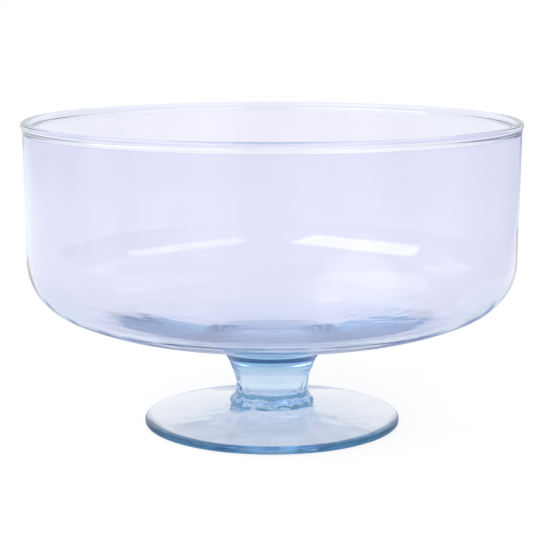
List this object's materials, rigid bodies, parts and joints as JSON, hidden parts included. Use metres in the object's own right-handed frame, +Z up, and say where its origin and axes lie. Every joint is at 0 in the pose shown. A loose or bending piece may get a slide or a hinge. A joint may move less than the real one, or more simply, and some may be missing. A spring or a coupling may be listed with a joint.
{
  "type": "footed fruit bowl",
  "caption": "Round clear glass fruit bowl with straight sides, a thick rounded rim and a rounded lower corner, on a short waisted stem and a flat disc foot.",
  "frame": {"origin": "middle of the foot's underside, on the plane the foot rests on", "axes": "+Z up along the bowl's axis; the part is round, so X and Y are free"},
  "size_m": [0.25, 0.25, 0.1555],
  "materials": {
    "bowl_glass": "clear polished glass with a pale lavender-blue tint, slightly wavy from blowing",
    "stem_glass": "clear polished solid glass, pale blue through its thickness",
    "foot_glass": "clear polished glass, teal along the edge"
  },
  "bodies": {
    "root": {"bowl": "bowl_glass", "stem": "stem_glass", "foot": "foot_glass"}
  },
  "joints": []
}
